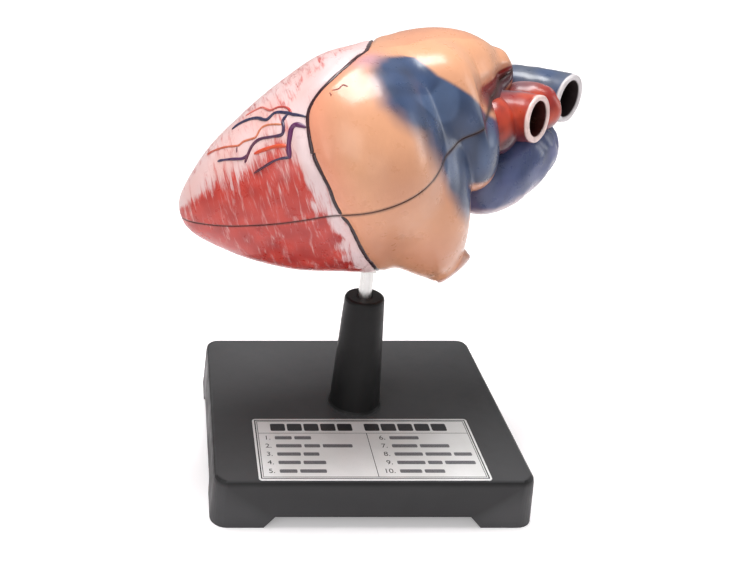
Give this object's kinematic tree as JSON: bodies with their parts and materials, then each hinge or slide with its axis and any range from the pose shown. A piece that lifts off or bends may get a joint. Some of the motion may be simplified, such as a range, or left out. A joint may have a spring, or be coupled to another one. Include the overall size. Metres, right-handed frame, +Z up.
{
  "type": "human heart anatomy model",
  "caption": "Teaching model of the human heart with a lift-off front half, four chambers and valves inside, on a rod in a black post and base tray with a key card.",
  "frame": {"origin": "on the table under the middle of the model's overall length and depth, 6 mm to the right of the post's axis, at the level of the tray's feet", "axes": "+Z up along the post and rod, -Y towards the front of the base where the key card lies, +X to the right, the side of the great vessels"},
  "size_m": [0.191, 0.13, 0.2081],
  "materials": {
    "tray_plastic": "satin moulded black",
    "post_plastic": "satin turned black",
    "zinc_steel": "zinc plated",
    "rod_steel": "bright drawn rod",
    "card": "printed card, matt",
    "heart_paint": "hand painted, satin varnish",
    "muscle_paint": "hand painted, satin varnish",
    "valve_paint": "hand painted cream",
    "pin_plastic": "natural plastic",
    "artery_paint": "hand painted red",
    "blue_paint": "hand painted blue",
    "vein_paint": "hand painted pink"
  },
  "bodies": {
    "stand": {"base_tray": "tray_plastic", "post": "post_plastic", "post_screw": "zinc_steel", "post_washer": "zinc_steel", "key_card": "card"},
    "rod": {"rod": "rod_steel", "rod_nuts": "zinc_steel", "rod_washers": "zinc_steel"},
    "heart": {"heart_back": "heart_paint", "ventricle_lining": "muscle_paint", "septum": "muscle_paint", "valve_wall": "valve_paint", "mitral_valve": "valve_paint", "tricuspid_valve": "valve_paint", "papillary_muscles": "muscle_paint", "chordae": "valve_paint", "rod_sleeve": "pin_plastic", "aorta": "artery_paint", "pulmonary_artery": "blue_paint", "pulmonary_trunk": "blue_paint", "inferior_vena_cava": "vein_paint", "pulmonary_veins": "artery_paint", "locating_pins": "pin_plastic"},
    "cover": {"heart_cover": "heart_paint", "cover_lining": "muscle_paint", "pin_sockets": "pin_plastic"}
  },
  "joints": [
    {"name": "rod_lift", "type": "slide", "parent": "stand", "child": "rod", "axis": [0, 0, 1], "range_m": [0, 0.045]},
    {"name": "heart_swivel", "type": "hinge", "parent": "rod", "child": "heart", "pos_m": [-0.006, 0, 0.1135], "axis": [0, 0, 1], "continuous": true},
    {"name": "cover_lift", "type": "slide", "parent": "heart", "child": "cover", "axis": [-0.3063, -0.1326, 0.9427], "range_m": [0, 0.09]}
  ]
}
